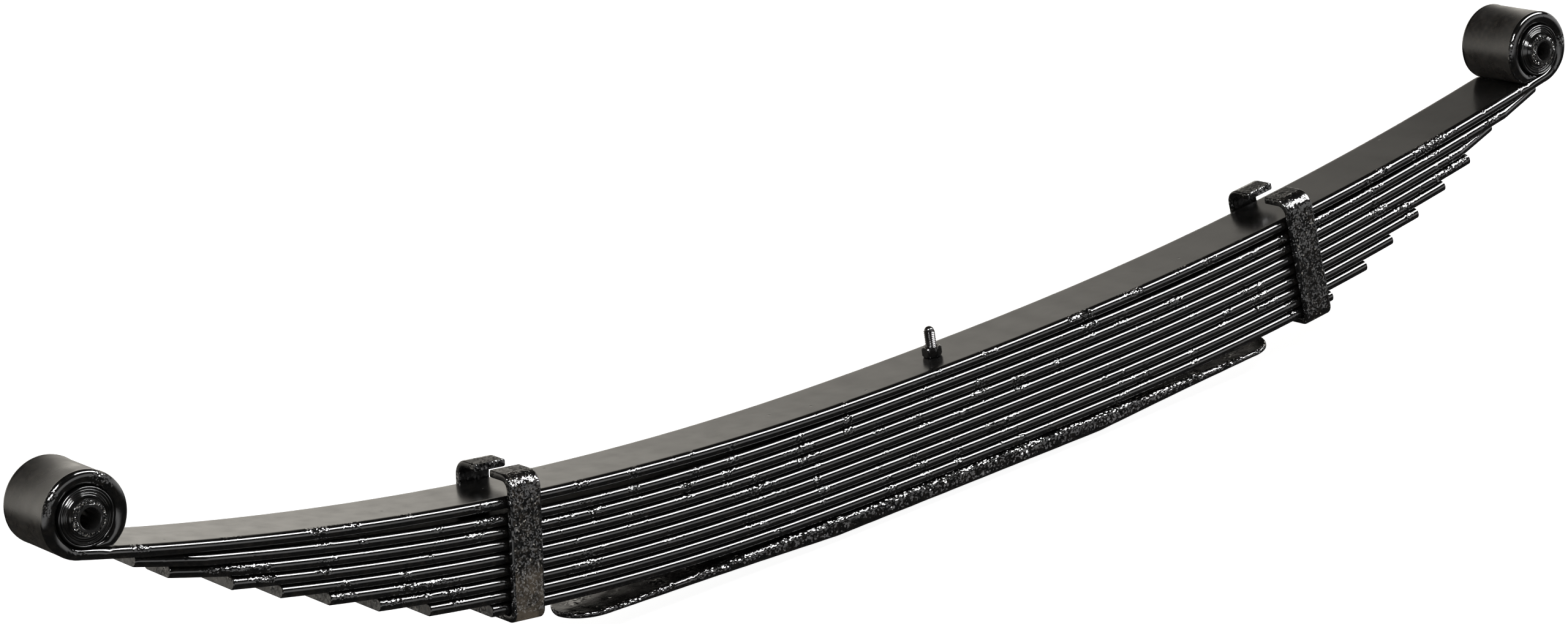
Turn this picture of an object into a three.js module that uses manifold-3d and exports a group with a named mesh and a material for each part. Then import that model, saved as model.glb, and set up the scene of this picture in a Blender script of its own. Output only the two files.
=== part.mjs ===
// A multi-leaf spring for a truck axle: a main leaf with two rolled eyes, eight
// graduated leaves, a thick tapered overload leaf, one centre bolt, two riveted
// clips and a rubber bush in each eye.
// Millimetres. +X runs along the spring to the rear eye, +Y across it, +Z up.
// The drawing frame has the centre bolt's axis on Z and the bolt head on z = 0;
// the whole group is then shifted so its origin is under the middle of its length.
import * as THREE from 'three';
import * as BufferGeometryUtils from 'three/addons/utils/BufferGeometryUtils.js';
import Module from 'manifold-3d';

const wasm = await Module();
wasm.setup();

// Leaf stock
const LEAF_WIDTH = 63.5;
const LEAF_THICK = 9.7;
const FIT_GAP = 0.3;
const LEAF_PITCH = LEAF_THICK + FIT_GAP;
const EDGE_RADIUS = 3.6;
const EDGE_RADIUS_SHARE = 0.42;
const STATION_STEP = 50;
const CURVE_STEP = 2;

// Camber of the main leaf's upper face, measured along its arc from the bolt
const SEAT_BEND_RADIUS = 5800;
const FRONT_BEND_RADIUS = 2530;
const REAR_BEND_RADIUS = 3565;
const SEAT_LENGTH = 139;

// Free gap between main leaf and second leaf, widest half way to the tips
const FRONT_NIP = 3.6;
const REAR_NIP = 2.0;

// Arc lengths from the centre bolt
const FRONT_EYE_ARC = 800;
const REAR_EYE_ARC = 691;
const LEAF_ARCS = [
  { name: 'leaf_2', front: 751, rear: 688, clipped: true },
  { name: 'leaf_3', front: 722, rear: 628, clipped: true },
  { name: 'leaf_4', front: 676, rear: 585 },
  { name: 'leaf_5', front: 635, rear: 551 },
  { name: 'leaf_6', front: 594, rear: 515 },
  { name: 'leaf_7', front: 552, rear: 481 },
  { name: 'leaf_8', front: 509, rear: 447 },
  { name: 'leaf_9', front: 455, rear: 404, riveted: true },
];
const CLIPPED_CORNER_LENGTH = 52;
const CLIPPED_TIP_WIDTH = 40;

// Rolled eyes
const EYE_RADIUS = 32.5;
const EYE_WRAP_ANGLE = THREE.MathUtils.degToRad(336);
const EYE_STATIONS = 22;
const ROLL_END_GAP = 0.5;

// Overload leaf
const OVERLOAD_THICK = 15.3;
const OVERLOAD_TIP_THICK = 4.6;
const OVERLOAD_FLAT_HALF = 140;
const OVERLOAD_FRONT = 392;
const OVERLOAD_REAR = 347;
const OVERLOAD_RISE = 2.2;
const OVERLOAD_STEP = 42;
const ROUND_END_STATIONS = 7;
const TIP_SLIVER = 4;

// Centre bolt and nut
const BOLT_RADIUS = 4.76;
const BOLT_HOLE_RADIUS = 5.3;
const BOLT_HEAD_RADIUS = 8;
const BOLT_HEAD_HEIGHT = 6;
const BOLT_ABOVE_LEAF = 25.7;
const BOLT_TIP_LENGTH = 3.5;
const BOLT_TIP_RADIUS = 2.2;
const BOLT_SHOULDER_RADIUS = 3.6;
const BOLT_HEAD_CHAMFER = 1;
const NUT_ACROSS_FLATS = 14.3;
const NUT_HEIGHT = 8.4;
const NUT_CHAMFER = 1.3;
const NUT_HOLE_RADIUS = 5.1;

// Clips
const CLIP_WIDTH = 28;
const CLIP_THICK = 6;
const CLIP_SIDE_CLEARANCE = 1.1;
const CLIP_FRONT_ARC = 427;
const CLIP_REAR_ARC = 380;
const CLIP_HEAD_ROOM = 11.5;
const CLIP_TAB_GAP = 20;
const CLIP_BASE_RADIUS = 9;
const CLIP_TOP_RADIUS = 13;
const RIVET_RADIUS = 4;
const RIVET_SINK_RADIUS = 7;
const RIVET_SINK_DEPTH = 3.5;
const RIVET_HEAD_RADIUS = 8;
const RIVET_HEAD_HEIGHT = 4;
const RIVET_CROWN_RADIUS = 4.8;
const RIVET_SIDE_HEIGHT = 1.4;
const RIVET_HOLE_CLEARANCE = 0.35;

// Bushes
const SHELL_OUTER = EYE_RADIUS - LEAF_THICK - FIT_GAP;
const SHELL_WALL = 1.7;
const SHELL_HALF_LENGTH = 32.6;
const SLEEVE_OUTER = 13.2;
const SLEEVE_BORE = 8.2;
const SLEEVE_HALF_LENGTH = 38.1;
const SLEEVE_CHAMFER = 0.8;
const RUBBER_EDGE_HALF = 31.6;
const RUBBER_RIBS = [
  { radius: 18.6, half: 34.6 },
  { radius: 15.9, half: 36.0 },
];
const RUBBER_GROOVES = [
  { radius: 20.0, half: 33.6 },
  { radius: 17.3, half: 34.4 },
  { radius: 14.6, half: 35.4 },
];

const ROUND_SEGMENTS = 32;
const HOLE_SEGMENTS = 20;
const CORNER_STEPS = 2;
const HALF_TURN = Math.PI;
const QUARTER_TURN = Math.PI / 2;

const LEAF_COUNT = LEAF_ARCS.length + 1;
const SEAT_Z = BOLT_HEAD_HEIGHT + FIT_GAP;
const OVERLOAD_TOP_Z = SEAT_Z + OVERLOAD_THICK;
const MAIN_TOP_Z = OVERLOAD_TOP_Z + LEAF_COUNT * LEAF_PITCH;

const finishes = {
  leaf: { color: 0x17181a, roughness: 0.3, metalness: 0.1 },
  clip: { color: 0x141414, roughness: 0.5, metalness: 0.1 },
  fastener: { color: 0x1a1a1b, roughness: 0.4, metalness: 0.4 },
  steel: { color: 0x232323, roughness: 0.35, metalness: 0.6 },
  rubber: { color: 0x0b0b0c, roughness: 0.55, metalness: 0.0 },
};

// ---------------------------------------------------------------- leaf curve

// Curvature of the main leaf's upper face at an arc length from the bolt.
function curvature(arc) {
  const end = 1 / (arc < 0 ? FRONT_BEND_RADIUS : REAR_BEND_RADIUS);
  const seat = 1 / SEAT_BEND_RADIUS;
  return end - (end - seat) * Math.exp(-((arc / SEAT_LENGTH) ** 2));
}

// Point and slope of that face, by stepping along the arc from the bolt.
function camberPoint(arc) {
  const steps = Math.max(1, Math.ceil(Math.abs(arc) / CURVE_STEP));
  const step = arc / steps;
  let x = 0;
  let z = MAIN_TOP_Z;
  let slope = 0;
  for (let i = 0; i < steps; i += 1) {
    const half = slope + (curvature((i + 0.25) * step) * step) / 2;
    x += Math.cos(half) * step;
    z += Math.sin(half) * step;
    slope += curvature((i + 0.5) * step) * step;
  }
  return { x, z, slope };
}

// The free gap under the main leaf: none at the bolt, most half way to leaf 2's tip.
function nipGap(arc) {
  const reach = arc < 0 ? LEAF_ARCS[0].front : LEAF_ARCS[0].rear;
  const most = arc < 0 ? FRONT_NIP : REAR_NIP;
  const along = Math.min(Math.abs(arc) / reach, 1);
  return most * Math.sin(HALF_TURN * along) ** 2;
}

// Depth of a leaf's upper face below the main leaf's, at an arc length.
function leafDepth(index, arc) {
  return index === 0 ? 0 : index * LEAF_PITCH + nipGap(arc);
}

// A frame on the camber curve, some depth below the main leaf's upper face.
function camberFrame(arc, depth) {
  const { x, z, slope } = camberPoint(arc);
  return { x: x + Math.sin(slope) * depth, z: z - Math.cos(slope) * depth, slope };
}

// ---------------------------------------------------------------- solids

// Rounded rectangle across a leaf, as [y, height] points; height 0 is the middle.
function leafSection(width, thick) {
  const radius = Math.min(EDGE_RADIUS, thick * EDGE_RADIUS_SHARE, width * EDGE_RADIUS_SHARE);
  const y = width / 2 - radius;
  const h = thick / 2 - radius;
  const corners = [[y, h, 0], [-y, h, 1], [-y, -h, 2], [y, -h, 3]];
  const points = [];
  for (const [cy, ch, quarter] of corners) {
    for (let i = 0; i <= CORNER_STEPS; i += 1) {
      const angle = (quarter + i / CORNER_STEPS) * QUARTER_TURN;
      points.push([cy + radius * Math.cos(angle), ch + radius * Math.sin(angle)]);
    }
  }
  return points;
}

// Joins equal rings of points into one closed body with flat ends.
function sweptSolid(rings) {
  const count = rings[0].length;
  const positions = rings.flat(2);
  const index = [];
  for (let r = 0; r + 1 < rings.length; r += 1) {
    for (let i = 0; i < count; i += 1) {
      const a = r * count + i;
      const b = r * count + ((i + 1) % count);
      index.push(a, b, b + count, a, b + count, a + count);
    }
  }
  const last = (rings.length - 1) * count;
  for (let i = 1; i + 1 < count; i += 1) {
    index.push(0, i + 1, i, last, last + i, last + i + 1);
  }
  const geometry = new THREE.BufferGeometry();
  geometry.setAttribute('position', new THREE.Float32BufferAttribute(positions, 3));
  geometry.setIndex(index);
  return facingOut(geometry);
}

// Turns the faces round if they enclose a negative volume.
function facingOut(geometry) {
  const p = geometry.getAttribute('position');
  const index = geometry.getIndex().array;
  const corner = [new THREE.Vector3(), new THREE.Vector3(), new THREE.Vector3()];
  let volume = 0;
  for (let t = 0; t < index.length; t += 3) {
    corner.forEach((v, k) => v.fromBufferAttribute(p, index[t + k]));
    volume += corner[0].dot(corner[1].cross(corner[2]));
  }
  if (volume < 0) {
    geometry.setIndex(Array.from(index).reverse());
  }
  return geometry;
}

// One ring of a leaf: its section stood on a mid-surface frame.
function leafRing(frame, width, thick) {
  const { x, z, slope } = frame;
  return leafSection(width, thick).map(([y, h]) => [
    x - Math.sin(slope) * h,
    y,
    z + Math.cos(slope) * h,
  ]);
}

function toSolid(geometry) {
  const bare = geometry.clone();
  bare.deleteAttribute('normal');
  bare.deleteAttribute('uv');
  const merged = BufferGeometryUtils.mergeVertices(bare);
  return new wasm.Manifold(new wasm.Mesh({
    numProp: 3,
    vertProperties: new Float32Array(merged.getAttribute('position').array),
    triVerts: new Uint32Array(merged.getIndex().array),
  }));
}

function toGeometry(solid) {
  const mesh = solid.getMesh();
  const geometry = new THREE.BufferGeometry();
  geometry.setAttribute('position', new THREE.BufferAttribute(mesh.vertProperties, 3));
  geometry.setIndex(new THREE.BufferAttribute(mesh.triVerts, 1));
  geometry.computeVertexNormals();
  return geometry;
}

function cut(geometry, ...tools) {
  return toGeometry(tools.reduce((body, tool) => body.subtract(toSolid(tool)), toSolid(geometry)));
}

// A turned solid about Z from [radius, height] points.
function turned(profile, segments = ROUND_SEGMENTS) {
  const points = profile.map(([radius, height]) => new THREE.Vector2(radius, height));
  return new THREE.LatheGeometry(points, segments).rotateX(QUARTER_TURN);
}

// A turned ring about Y; the profile closes on itself.
function turnedRing(profile) {
  const points = profile.map(([radius, height]) => new THREE.Vector2(radius, height));
  points.push(points[0].clone());
  return facingOut(BufferGeometryUtils.mergeVertices(
    bareShape(new THREE.LatheGeometry(points, ROUND_SEGMENTS)),
  ));
}

function bareShape(geometry) {
  geometry.deleteAttribute('normal');
  geometry.deleteAttribute('uv');
  return geometry;
}

// ---------------------------------------------------------------- leaves

function stationsBetween(front, rear) {
  const stations = [-front];
  const first = Math.ceil(-front / STATION_STEP) * STATION_STEP;
  for (let arc = first; arc < rear; arc += STATION_STEP) {
    if (arc + front > 1 && rear - arc > 1) stations.push(arc);
  }
  stations.push(rear);
  return stations;
}

// Width of a leaf near its ends, narrower where the corners are clipped off.
function widthAt(leaf, arc) {
  if (!leaf.clipped) return LEAF_WIDTH;
  const toTip = arc < 0 ? leaf.front + arc : leaf.rear - arc;
  const share = THREE.MathUtils.clamp(toTip / CLIPPED_CORNER_LENGTH, 0, 1);
  return THREE.MathUtils.lerp(CLIPPED_TIP_WIDTH, LEAF_WIDTH, share);
}

function boltHoleTool() {
  const length = 3 * MAIN_TOP_Z;
  const hole = new THREE.CylinderGeometry(BOLT_HOLE_RADIUS, BOLT_HOLE_RADIUS, length, HOLE_SEGMENTS);
  return hole.rotateX(QUARTER_TURN);
}

function graduatedLeaf(leaf, index) {
  const stations = stationsBetween(leaf.front, leaf.rear);
  if (leaf.clipped) {
    stations.push(CLIPPED_CORNER_LENGTH - leaf.front, leaf.rear - CLIPPED_CORNER_LENGTH);
    stations.sort((a, b) => a - b);
  }
  const rings = stations.map((arc) => leafRing(
    camberFrame(arc, leafDepth(index, arc) + LEAF_THICK / 2),
    widthAt(leaf, arc),
    LEAF_THICK,
  ));
  const tools = [boltHoleTool()];
  if (leaf.riveted) tools.push(rivetTool(clipFrame(-1)), rivetTool(clipFrame(1)));
  return cut(sweptSolid(rings), ...tools);
}

// Centre of a rolled eye; side is -1 at the front and 1 at the rear.
function eyeCentre(side) {
  const arc = side < 0 ? -FRONT_EYE_ARC : REAR_EYE_ARC;
  return camberFrame(arc, LEAF_THICK - EYE_RADIUS);
}

// Thickness of the roll: full until its outside meets the leaf, then thinned to lie on it.
function rollThickness(turn) {
  const left = 2 * HALF_TURN - turn;
  const inner = EYE_RADIUS - LEAF_THICK;
  if (left > QUARTER_TURN) return LEAF_THICK;
  return Math.min(LEAF_THICK, (inner - ROLL_END_GAP) / Math.cos(left) - inner);
}

// Mid-surface frames round an eye, from under its centre to the end of the wrap.
function eyeFrames(side) {
  const centre = eyeCentre(side);
  const frames = [];
  for (let i = 1; i <= EYE_STATIONS; i += 1) {
    const turn = EYE_WRAP_ANGLE * (i / EYE_STATIONS);
    const slope = centre.slope + side * turn;
    const thick = rollThickness(turn);
    const radius = EYE_RADIUS - LEAF_THICK + thick / 2;
    frames.push({
      x: centre.x + Math.sin(slope) * radius,
      z: centre.z - Math.cos(slope) * radius,
      slope,
      thick,
    });
  }
  return frames;
}

function mainLeaf() {
  const arcs = stationsBetween(FRONT_EYE_ARC, REAR_EYE_ARC);
  const flat = arcs.map((arc) => camberFrame(arc, LEAF_THICK / 2));
  const frames = [...eyeFrames(-1).reverse(), ...flat, ...eyeFrames(1)];
  const rings = frames.map((frame) => leafRing(frame, LEAF_WIDTH, frame.thick ?? LEAF_THICK));
  return cut(sweptSolid(rings), boltHoleTool());
}

// Thickness of the overload leaf: full over the seat, tapering straight to the tips.
function overloadThickness(x) {
  const reach = (x < 0 ? OVERLOAD_FRONT : OVERLOAD_REAR) - LEAF_WIDTH / 2;
  const share = (Math.abs(x) - OVERLOAD_FLAT_HALF) / (reach - OVERLOAD_FLAT_HALF);
  return THREE.MathUtils.lerp(OVERLOAD_THICK, OVERLOAD_TIP_THICK, THREE.MathUtils.clamp(share, 0, 1));
}

// Width of the overload leaf, whose ends are half round in plan.
function overloadWidth(x) {
  const radius = LEAF_WIDTH / 2;
  const reach = x < 0 ? OVERLOAD_FRONT : OVERLOAD_REAR;
  const past = Math.max(0, Math.abs(x) - (reach - radius));
  return Math.max(2 * Math.sqrt(Math.max(radius ** 2 - past ** 2, 0)), TIP_SLIVER);
}

function overloadStations() {
  const radius = LEAF_WIDTH / 2;
  const stations = [-OVERLOAD_FLAT_HALF, 0, OVERLOAD_FLAT_HALF];
  for (const [side, reach] of [[-1, OVERLOAD_FRONT], [1, OVERLOAD_REAR]]) {
    for (let i = 0; i <= ROUND_END_STATIONS; i += 1) {
      const past = radius * Math.sin((i / ROUND_END_STATIONS) * QUARTER_TURN);
      stations.push(side * (reach - radius + past));
    }
    for (let x = OVERLOAD_FLAT_HALF + OVERLOAD_STEP; x < reach - radius - 1; x += OVERLOAD_STEP) {
      stations.push(side * x);
    }
  }
  return stations.sort((a, b) => a - b);
}

function overloadLeaf() {
  const rings = overloadStations().map((x) => {
    const thick = overloadThickness(x);
    const past = Math.max(0, Math.abs(x) - OVERLOAD_FLAT_HALF);
    const top = OVERLOAD_TOP_Z + OVERLOAD_RISE * (past / OVERLOAD_FRONT);
    return leafRing({ x, z: top - thick / 2, slope: 0 }, overloadWidth(x), thick);
  });
  return cut(sweptSolid(rings), boltHoleTool());
}

// ---------------------------------------------------------------- fasteners

function centreBolt() {
  const top = MAIN_TOP_Z + BOLT_ABOVE_LEAF;
  return turned([
    [0, 0],
    [BOLT_HEAD_RADIUS - BOLT_HEAD_CHAMFER, 0],
    [BOLT_HEAD_RADIUS, BOLT_HEAD_CHAMFER],
    [BOLT_HEAD_RADIUS, BOLT_HEAD_HEIGHT],
    [BOLT_RADIUS, BOLT_HEAD_HEIGHT],
    [BOLT_RADIUS, top - BOLT_TIP_LENGTH],
    [BOLT_SHOULDER_RADIUS, top - BOLT_TIP_LENGTH / 3],
    [BOLT_TIP_RADIUS, top],
    [0, top],
  ]);
}

function centreNut() {
  const corner = NUT_ACROSS_FLATS / Math.sqrt(3);
  const prism = new THREE.CylinderGeometry(corner, corner, NUT_HEIGHT, 6).rotateX(QUARTER_TURN);
  const flat = NUT_ACROSS_FLATS / 2;
  const reach = corner + NUT_CHAMFER;
  const dome = turned([
    [0, -NUT_HEIGHT / 2],
    [flat, -NUT_HEIGHT / 2],
    [reach, NUT_CHAMFER - NUT_HEIGHT / 2],
    [reach, NUT_HEIGHT / 2 - NUT_CHAMFER],
    [flat, NUT_HEIGHT / 2],
    [0, NUT_HEIGHT / 2],
  ], HOLE_SEGMENTS);
  const radius = NUT_HOLE_RADIUS;
  const hole = new THREE.CylinderGeometry(radius, radius, 2 * NUT_HEIGHT, HOLE_SEGMENTS);
  hole.rotateX(QUARTER_TURN);
  return toGeometry(toSolid(prism).intersect(toSolid(dome)).subtract(toSolid(hole)));
}

// ---------------------------------------------------------------- clips

// The frame of a clip: on the underside of leaf 9, square to the camber curve.
function clipFrame(side) {
  const arc = side < 0 ? -CLIP_FRONT_ARC : CLIP_REAR_ARC;
  return camberFrame(arc, leafDepth(LEAF_COUNT - 1, arc) + LEAF_THICK);
}

// Turns a shape drawn about that frame's own origin into the drawing frame.
function stoodOn(geometry, frame) {
  return geometry.rotateY(-frame.slope).translate(frame.x, 0, frame.z);
}

// The rivet's outline, grown by a clearance; height 0 is leaf 9's underside.
function rivetProfile(grow) {
  const base = -2 * FIT_GAP - CLIP_THICK;
  const top = LEAF_THICK;
  return [
    [0, base - RIVET_HEAD_HEIGHT],
    [RIVET_CROWN_RADIUS, base - RIVET_HEAD_HEIGHT],
    [RIVET_HEAD_RADIUS, base - RIVET_SIDE_HEIGHT],
    [RIVET_HEAD_RADIUS, base],
    [RIVET_RADIUS + grow, base],
    [RIVET_RADIUS + grow, top - RIVET_SINK_DEPTH - FIT_GAP],
    [RIVET_SINK_RADIUS + grow, top - FIT_GAP + grow],
    [0, top - FIT_GAP + grow],
  ];
}

function rivet(side) {
  return stoodOn(turned(rivetProfile(0), HOLE_SEGMENTS), clipFrame(side));
}

// The hole for the rivet, open above leaf 9's upper face.
function rivetTool(frame) {
  const profile = rivetProfile(RIVET_HOLE_CLEARANCE).slice(0, -1);
  const sink = profile[profile.length - 1];
  profile.push([sink[0], LEAF_THICK + LEAF_PITCH / 2], [0, LEAF_THICK + LEAF_PITCH / 2]);
  return stoodOn(turned(profile, HOLE_SEGMENTS), frame);
}

// The strap's outline across the spring: a flat base, two legs and two bent-in tabs.
function clipOutline(side) {
  const arc = side < 0 ? -CLIP_FRONT_ARC : CLIP_REAR_ARC;
  const inner = LEAF_WIDTH / 2 + CLIP_SIDE_CLEARANCE;
  const outer = inner + CLIP_THICK;
  const base = -FIT_GAP;
  const stack = leafDepth(LEAF_COUNT - 1, arc) + LEAF_THICK;
  const roof = stack + CLIP_HEAD_ROOM;
  const tab = CLIP_TAB_GAP / 2;
  const innerBase = CLIP_BASE_RADIUS - CLIP_THICK;
  const innerTop = CLIP_TOP_RADIUS - CLIP_THICK;
  const shape = new THREE.Shape();
  shape.moveTo(tab, roof);
  shape.lineTo(inner - innerTop, roof);
  shape.absarc(inner - innerTop, roof - innerTop, innerTop, QUARTER_TURN, 0, true);
  shape.lineTo(inner, base + innerBase);
  shape.absarc(inner - innerBase, base + innerBase, innerBase, 0, -QUARTER_TURN, true);
  shape.lineTo(innerBase - inner, base);
  shape.absarc(innerBase - inner, base + innerBase, innerBase, -QUARTER_TURN, -HALF_TURN, true);
  shape.lineTo(-inner, roof - innerTop);
  shape.absarc(innerTop - inner, roof - innerTop, innerTop, HALF_TURN, QUARTER_TURN, true);
  shape.lineTo(-tab, roof);
  shape.lineTo(-tab, roof + CLIP_THICK);
  shape.lineTo(CLIP_TOP_RADIUS - outer, roof + CLIP_THICK);
  const topX = outer - CLIP_TOP_RADIUS;
  const baseX = outer - CLIP_BASE_RADIUS;
  const baseZ = base + innerBase;
  shape.absarc(-topX, roof - innerTop, CLIP_TOP_RADIUS, QUARTER_TURN, HALF_TURN, false);
  shape.lineTo(-outer, baseZ);
  shape.absarc(-baseX, baseZ, CLIP_BASE_RADIUS, HALF_TURN, 3 * QUARTER_TURN, false);
  shape.lineTo(baseX, base - CLIP_THICK);
  shape.absarc(baseX, baseZ, CLIP_BASE_RADIUS, -QUARTER_TURN, 0, false);
  shape.lineTo(outer, roof - innerTop);
  shape.absarc(topX, roof - innerTop, CLIP_TOP_RADIUS, 0, QUARTER_TURN, false);
  shape.lineTo(tab, roof + CLIP_THICK);
  return shape;
}

function clip(side) {
  const strap = new THREE.ExtrudeGeometry(clipOutline(side), {
    depth: CLIP_WIDTH,
    bevelEnabled: false,
    curveSegments: 5,
  });
  strap.translate(0, 0, -CLIP_WIDTH / 2);
  // The outline's x becomes +Y and its height becomes +Z.
  strap.rotateX(QUARTER_TURN).rotateZ(QUARTER_TURN);
  return cut(stoodOn(strap, clipFrame(side)), rivetTool(clipFrame(side)));
}

// ---------------------------------------------------------------- bushes

function bushShell() {
  const inner = SHELL_OUTER - SHELL_WALL;
  const lip = SHELL_WALL / 2;
  const half = SHELL_HALF_LENGTH;
  return turnedRing([
    [inner, -half + lip],
    [inner + lip, -half],
    [SHELL_OUTER, -half + lip],
    [SHELL_OUTER, half - lip],
    [inner + lip, half],
    [inner, half - lip],
  ]);
}

function bushRubber() {
  const outer = SHELL_OUTER - SHELL_WALL - FIT_GAP;
  const inner = SLEEVE_OUTER + FIT_GAP;
  const steps = [...RUBBER_GROOVES, ...RUBBER_RIBS].sort((a, b) => b.radius - a.radius);
  const face = steps.map(({ radius, half }) => [radius, half]);
  const nearFace = face.map(([radius, half]) => [radius, -half]).reverse();
  return turnedRing([
    [inner, -RUBBER_EDGE_HALF],
    ...nearFace,
    [outer, -RUBBER_EDGE_HALF],
    [outer, RUBBER_EDGE_HALF],
    ...face,
    [inner, RUBBER_EDGE_HALF],
  ]);
}

function bushSleeve() {
  const half = SLEEVE_HALF_LENGTH;
  const chamfer = SLEEVE_CHAMFER;
  return turnedRing([
    [SLEEVE_BORE, -half + chamfer],
    [SLEEVE_BORE + chamfer, -half],
    [SLEEVE_OUTER - chamfer, -half],
    [SLEEVE_OUTER, -half + chamfer],
    [SLEEVE_OUTER, half - chamfer],
    [SLEEVE_OUTER - chamfer, half],
    [SLEEVE_BORE + chamfer, half],
    [SLEEVE_BORE, half - chamfer],
  ]);
}

// ---------------------------------------------------------------- assembly

const leafSpring = new THREE.Group();

function addPart(name, geometry, finish, place = [0, 0, 0]) {
  const mesh = new THREE.Mesh(geometry, new THREE.MeshStandardMaterial(finishes[finish]));
  mesh.name = name;
  mesh.position.set(...place);
  leafSpring.add(mesh);
}

addPart('main_leaf', mainLeaf(), 'leaf');
LEAF_ARCS.forEach((leaf, i) => addPart(leaf.name, graduatedLeaf(leaf, i + 1), 'leaf'));
addPart('overload_leaf', overloadLeaf(), 'leaf');
addPart('centre_bolt', centreBolt(), 'fastener');
addPart('centre_nut', centreNut(), 'fastener', [0, 0, MAIN_TOP_Z + FIT_GAP + NUT_HEIGHT / 2]);

for (const [end, side] of [['front', -1], ['rear', 1]]) {
  const { x, z } = eyeCentre(side);
  addPart(`${end}_clip`, clip(side), 'clip');
  addPart(`${end}_clip_rivet`, rivet(side), 'fastener');
  addPart(`${end}_bush_shell`, bushShell(), 'steel', [x, 0, z]);
  addPart(`${end}_bush_rubber`, bushRubber(), 'rubber', [x, 0, z]);
  addPart(`${end}_bush_sleeve`, bushSleeve(), 'steel', [x, 0, z]);
}

// The eyes set the ends of the spring, so half way between them is x = 0.
leafSpring.position.x = -(eyeCentre(-1).x + eyeCentre(1).x) / 2;

export default leafSpring;
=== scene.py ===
# %% [markdown]
# A truck leaf spring: nine cambered leaves, an overload leaf, a centre bolt, two clips and
# a rubber bush in each rolled eye. The imported model gives every piece its place, so the
# first step is to load it and keep each piece's mesh where it stands.

# %% Load the imported frame
import math

import bmesh
import bpy
import numpy as np
from mathutils import Matrix, Vector, noise


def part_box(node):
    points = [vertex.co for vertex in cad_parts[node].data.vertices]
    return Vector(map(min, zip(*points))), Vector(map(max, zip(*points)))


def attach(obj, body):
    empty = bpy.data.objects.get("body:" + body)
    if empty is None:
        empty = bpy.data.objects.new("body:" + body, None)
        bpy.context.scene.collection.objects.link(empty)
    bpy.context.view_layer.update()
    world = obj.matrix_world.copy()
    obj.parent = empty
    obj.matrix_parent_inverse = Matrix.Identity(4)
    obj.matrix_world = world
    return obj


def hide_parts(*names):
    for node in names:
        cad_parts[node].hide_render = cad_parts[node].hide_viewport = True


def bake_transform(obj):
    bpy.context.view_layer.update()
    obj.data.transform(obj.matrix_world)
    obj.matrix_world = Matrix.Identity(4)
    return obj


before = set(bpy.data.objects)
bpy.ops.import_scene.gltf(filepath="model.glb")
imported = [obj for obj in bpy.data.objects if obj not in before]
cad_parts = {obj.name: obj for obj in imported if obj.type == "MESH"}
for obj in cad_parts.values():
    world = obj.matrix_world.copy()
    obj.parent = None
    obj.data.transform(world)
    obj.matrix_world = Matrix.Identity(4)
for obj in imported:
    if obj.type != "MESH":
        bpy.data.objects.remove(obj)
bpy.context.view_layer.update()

print("nodes:", len(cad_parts))

# %% [markdown]
# The camera looks down on the spring from the front eye's side, a little rolled, through a
# long lens. It could be aimed with a tracking constraint, but three plain angles say the
# same thing and stay put in every view.

# %% Camera
CAMERA_PLACE = Vector((-2.080945, -2.889574, 1.299173))
CAMERA_AZIMUTH = math.radians(34.5747)
CAMERA_DOWN = math.radians(17.5086)
CAMERA_ROLL = math.radians(-8.304)
CAMERA_LENS = 106.24
SENSOR_WIDTH = 36.0
SIGHT_LIMIT = 60.0


def aimed_axes(azimuth, down, roll):
    """Right, up and backward axes of a camera turned by those three angles."""
    ahead = Vector((
        math.sin(azimuth) * math.cos(down),
        math.cos(azimuth) * math.cos(down),
        -math.sin(down),
    ))
    level = Vector((math.cos(azimuth), -math.sin(azimuth), 0.0))
    upright = level.cross(ahead)
    right = math.cos(roll) * level + math.sin(roll) * upright
    up = math.cos(roll) * upright - math.sin(roll) * level
    return right, up, -ahead


def placed(x_axis, y_axis, z_axis, place):
    """The matrix that puts an object at place with those three axes."""
    columns = [list(axis) + [0.0] for axis in (x_axis, y_axis, z_axis)]
    return Matrix(columns + [list(place) + [1.0]]).transposed()


lens = bpy.data.cameras.new("studio_camera")
lens.sensor_width = SENSOR_WIDTH
lens.lens = CAMERA_LENS
lens.clip_end = SIGHT_LIMIT
camera = bpy.data.objects.new("studio_camera", lens)
bpy.context.scene.collection.objects.link(camera)
right, up, back = aimed_axes(CAMERA_AZIMUTH, CAMERA_DOWN, CAMERA_ROLL)
camera.matrix_world = placed(right, up, back, CAMERA_PLACE)
bpy.context.scene.camera = camera
print("camera at", tuple(round(v, 3) for v in CAMERA_PLACE))

# %% [markdown]
# Wet black enamel has almost no colour of its own: what you see is the room in it. The
# look of each edge comes from three things: a wide soft box overhead and in front that
# draws the white line, a dark ceiling that draws the black line beside it, and two pale
# walls that fill the flat faces with grey. The floor gives light but isn't mirrored,
# because its reflection would wash out the dark lines.

# %% Studio
WHITE = (1.0, 1.0, 1.0, 1.0)
FRONT_GLOW = 1.9
FRONT_FOOT = (-0.30, -0.08)
FRONT_HEAD = (0.06, 0.22)
BACK_GLOW = 1.20
BACK_FOOT = (-0.24, -0.04)
BACK_HEAD = (0.11, 0.67)
BACK_COLOUR = (1.0, 0.955, 0.87, 1.0)
DARK_SHARE = 0.02
CORNER = (-0.1, 0.6)
FLOOR_COLOUR = (0.60, 0.60, 0.60, 1.0)
FLOOR_GLOW = 0.93
FLOOR_SIZE = 60.0
FLOOR_ROUGHNESS = 0.95
BOX_PLACE = Vector((2.1, -1.70, 2.6))
BOX_TARGET = Vector((0.0, 0.0, 0.1))
BOX_LENGTH = 3.4
BOX_WIDTH = 1.15
BOX_POWER = 440.0
LEFT_BOX_PLACE = Vector((-2.3, -1.7, 2.9))
LEFT_BOX_TARGET = Vector((-0.5, 0.0, 0.2))
LEFT_BOX_LENGTH = 1.5
LEFT_BOX_WIDTH = 1.3
LEFT_BOX_POWER = 420.0
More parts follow.
